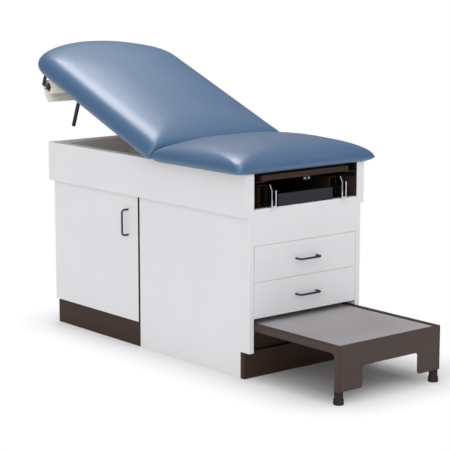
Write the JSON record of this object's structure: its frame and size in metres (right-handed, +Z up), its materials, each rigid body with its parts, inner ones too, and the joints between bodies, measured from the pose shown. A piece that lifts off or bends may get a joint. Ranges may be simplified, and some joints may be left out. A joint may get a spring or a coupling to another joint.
{
  "type": "examination table with storage",
  "caption": "Padded examination table with a tilting backrest over a cabinet with a door, drawers, pull-out step, leg rest, tray, heel stirrups and a paper roll.",
  "frame": {"origin": "on the floor under the middle of the cabinet, on the underside of the plinth rail", "axes": "+X to the foot end with the drawers and step, -Y to the side with the door, +Z up"},
  "size_m": [1.8642, 0.69, 1.1654],
  "materials": {
    "vinyl": "satin vinyl-coated fabric over foam",
    "white_laminate": "satin laminate on board",
    "brown_laminate": "satin laminate on board",
    "raw_board": "bare plywood",
    "grey_liner": "satin",
    "zinc_steel": "zinc plated",
    "black_steel": "satin black",
    "chrome": "bright plated",
    "vinyl_grip": "dipped vinyl",
    "paper": "crepe",
    "cardboard": "plain",
    "dark_wire": "satin",
    "brown_steel": "satin powder coat",
    "tread_rubber": "pebbled",
    "foot_rubber": "moulded",
    "tray_plastic": "moulded"
  },
  "bodies": {
    "cabinet": {"side_panel_far": "white_laminate", "side_panel_near": "white_laminate", "side_rail_near": "white_laminate", "apron_near": "white_laminate", "apron_far": "white_laminate", "apron_head": "white_laminate", "head_panel": "white_laminate", "bottom_panel": "white_laminate", "partition_panel": "brown_laminate", "shelf_board": "white_laminate", "tub_floor": "white_laminate", "tub_liner": "grey_liner", "hinge_rail": "brown_laminate", "bay_floor": "brown_laminate", "fascia_panel": "white_laminate", "front_kick": "brown_laminate", "plinth_boards": "brown_laminate", "plinth_rail": "raw_board", "drawer_runners": "zinc_steel", "step_rails": "zinc_steel", "leg_rest_rails": "black_steel", "stirrup_guides": "brown_laminate", "seat_deck": "raw_board", "seat_pad": "vinyl", "hinge_ears": "zinc_steel", "hinge_pins": "zinc_steel", "spring_base": "black_steel", "door_hinge_frames": "zinc_steel"},
    "backrest": {"back_pad": "vinyl", "back_deck": "raw_board", "hinge_forks": "zinc_steel", "spring_top_bracket": "black_steel", "lever_bracket": "black_steel", "roll_brackets": "black_steel", "roll_spindle": "zinc_steel"},
    "release_lever": {"lever_rod": "black_steel", "lever_grip": "vinyl_grip"},
    "spring_cylinder": {"spring_cylinder": "black_steel"},
    "spring_rod": {"spring_rod": "chrome"},
    "paper_roll": {"paper_roll": "paper", "roll_core": "cardboard"},
    "door": {"door_panel": "white_laminate", "door_handle": "dark_wire", "door_hinge_leaves": "zinc_steel"},
    "upper_drawer": {"upper_drawer_front": "white_laminate", "upper_drawer_box": "white_laminate", "upper_drawer_handle": "dark_wire", "upper_drawer_slides": "zinc_steel"},
    "lower_drawer": {"lower_drawer_front": "white_laminate", "lower_drawer_box": "white_laminate", "lower_drawer_handle": "dark_wire", "lower_drawer_slides": "zinc_steel"},
    "step": {"step_frame": "brown_steel", "step_tread": "tread_rubber", "step_legs": "brown_steel", "step_feet": "foot_rubber"},
    "leg_rest": {"leg_rest_board": "brown_laminate"},
    "tray": {"instrument_tray": "tray_plastic"},
    "stirrup_right": {"stirrup_right": "chrome"},
    "stirrup_left": {"stirrup_left": "chrome"}
  },
  "joints": [
    {"name": "backrest_tilt", "type": "hinge", "parent": "cabinet", "child": "backrest", "pos_m": [0.114, 0, 0.824], "axis": [0, 1, 0], "range_deg": [-21.5, 53.5]},
    {"name": "release_lever_pull", "type": "hinge", "parent": "backrest", "child": "release_lever", "pos_m": [-0.48104, -0.232, 0.97778], "axis": [0, 1, 0], "range_deg": [0, 14], "stiffness_Nm_per_rad": 6, "springref_deg": -6.88},
    {"name": "spring_cylinder_pivot", "type": "hinge", "parent": "cabinet", "child": "spring_cylinder", "pos_m": [0.064, 0, 0.719], "axis": [0, 1, 0], "range_deg": [-19.2, 47.4]},
    {"name": "spring_rod_slide", "type": "slide", "parent": "spring_cylinder", "child": "spring_rod", "axis": [-0.8859, 0, 0.4639], "range_m": [-0.0405, 0.1005]},
    {"name": "paper_roll_spin", "type": "hinge", "parent": "backrest", "child": "paper_roll", "pos_m": [-0.7245, 0, 0.9791], "axis": [0, 1, 0], "continuous": true},
    {"name": "door_swing", "type": "hinge", "parent": "cabinet", "child": "door", "pos_m": [-0.623, -0.257, 0.35], "axis": [0, 0, -1], "range_deg": [0, 110]},
    {"name": "upper_drawer_slide", "type": "slide", "parent": "cabinet", "child": "upper_drawer", "axis": [1, 0, 0], "range_m": [0, 0.38]},
    {"name": "lower_drawer_slide", "type": "slide", "parent": "cabinet", "child": "lower_drawer", "axis": [1, 0, 0], "range_m": [0, 0.38]},
    {"name": "step_slide", "type": "slide", "parent": "cabinet", "child": "step", "axis": [1, 0, 0], "range_m": [-0.435, 0]},
    {"name": "leg_rest_slide", "type": "slide", "parent": "cabinet", "child": "leg_rest", "axis": [1, 0, 0], "range_m": [0, 0.36]},
    {"name": "tray_slide", "type": "slide", "parent": "cabinet", "child": "tray", "axis": [1, 0, 0], "range_m": [0, 0.3]},
    {"name": "stirrup_right_slide", "type": "slide", "parent": "cabinet", "child": "stirrup_right", "axis": [1, 0, 0], "range_m": [0, 0.3]},
    {"name": "stirrup_left_slide", "type": "slide", "parent": "cabinet", "child": "stirrup_left", "axis": [1, 0, 0], "range_m": [0, 0.3]}
  ],
  "couplings": [
    {"joint": "spring_cylinder_pivot", "follows": "backrest_tilt", "ratio": 0.8783},
    {"joint": "spring_rod_slide", "follows": "backrest_tilt", "m_per_rad": 0.10691}
  ]
}
